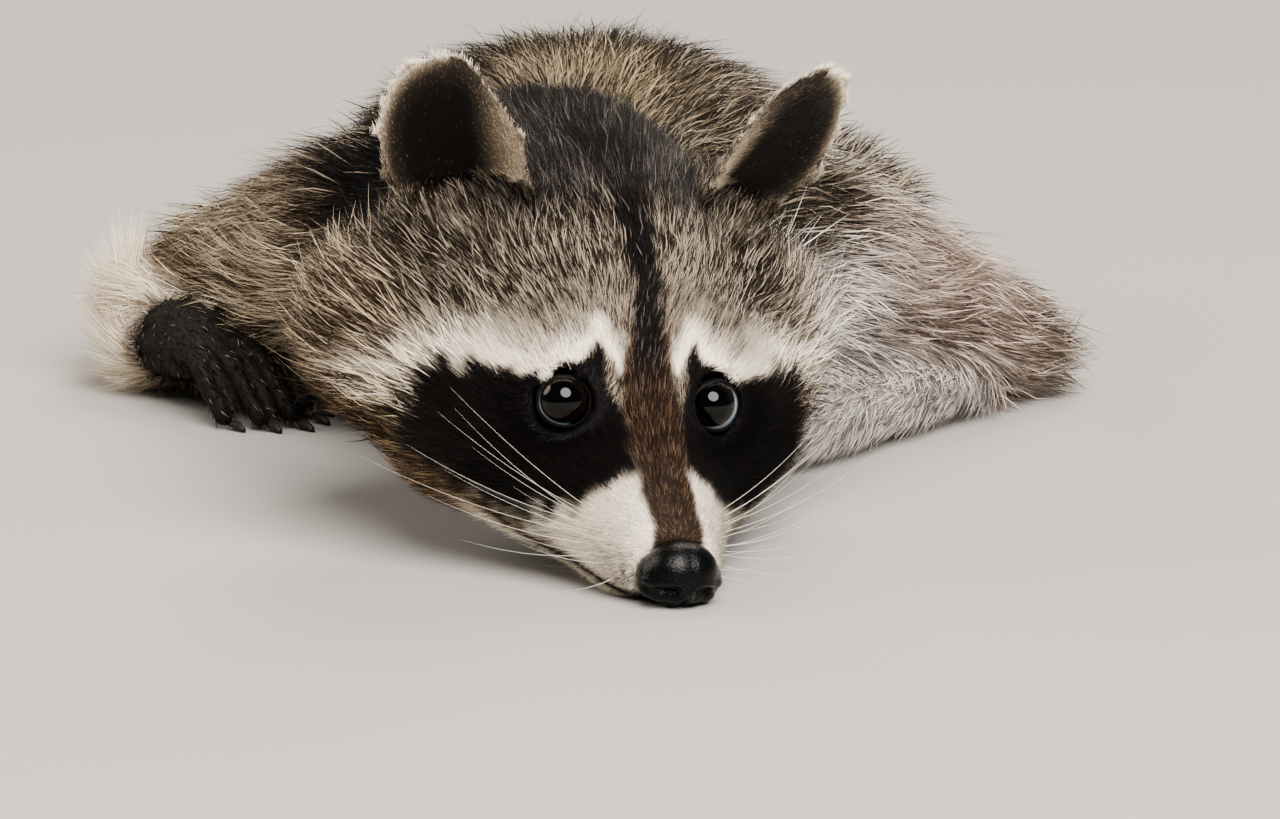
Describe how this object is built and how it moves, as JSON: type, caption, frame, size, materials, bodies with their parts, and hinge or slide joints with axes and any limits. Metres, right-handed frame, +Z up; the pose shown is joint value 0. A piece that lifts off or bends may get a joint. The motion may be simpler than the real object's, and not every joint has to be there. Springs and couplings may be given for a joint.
{
  "type": "raccoon",
  "caption": "Life-size raccoon lying on its belly, chin on the floor, head turned to its left, masked face, grey-brown coat and ringed tail, as a still museum model.",
  "frame": {"origin": "on the floor, under the middle of the animal's box", "axes": "-Y where the head points, +X the animal's left, +Z up from the floor"},
  "size_m": [0.3078, 0.7292, 0.1559],
  "materials": {
    "body_coat": "long grizzled fur",
    "face_coat": "short grizzled fur with a black mask",
    "ear_coat": "short fur, pale at the rim",
    "leg_coat": "short dark fur",
    "tail_coat": "bushy fur in light and dark rings",
    "bare_skin": "wrinkled bare skin",
    "nose": "moist pebbled skin",
    "eye": "wet gloss",
    "claw": "smooth horn",
    "whisker": "fine stiff hair"
  },
  "bodies": {
    "root": {"nose": "nose", "eye_r": "eye", "eye_l": "eye", "jaw": "face_coat", "head": "face_coat", "ear_r": "ear_coat", "ear_l": "ear_coat", "neck": "body_coat", "chest": "body_coat", "belly": "body_coat", "rump": "body_coat", "upper_arm_r": "body_coat", "forearm_r": "leg_coat", "hand_r": "bare_skin", "claw_hand_r1": "claw", "claw_hand_r2": "claw", "claw_hand_r3": "claw", "claw_hand_r4": "claw", "claw_hand_r5": "claw", "upper_arm_l": "body_coat", "forearm_l": "leg_coat", "hand_l": "bare_skin", "claw_hand_l1": "claw", "claw_hand_l2": "claw", "claw_hand_l3": "claw", "claw_hand_l4": "claw", "claw_hand_l5": "claw", "thigh_r": "body_coat", "shank_r": "leg_coat", "foot_r": "leg_coat", "claw_foot_r1": "claw", "claw_foot_r2": "claw", "claw_foot_r3": "claw", "claw_foot_r4": "claw", "claw_foot_r5": "claw", "thigh_l": "body_coat", "shank_l": "leg_coat", "foot_l": "leg_coat", "claw_foot_l1": "claw", "claw_foot_l2": "claw", "claw_foot_l3": "claw", "claw_foot_l4": "claw", "claw_foot_l5": "claw", "tail_1": "tail_coat", "tail_2": "tail_coat", "tail_3": "tail_coat"}
  },
  "joints": []
}
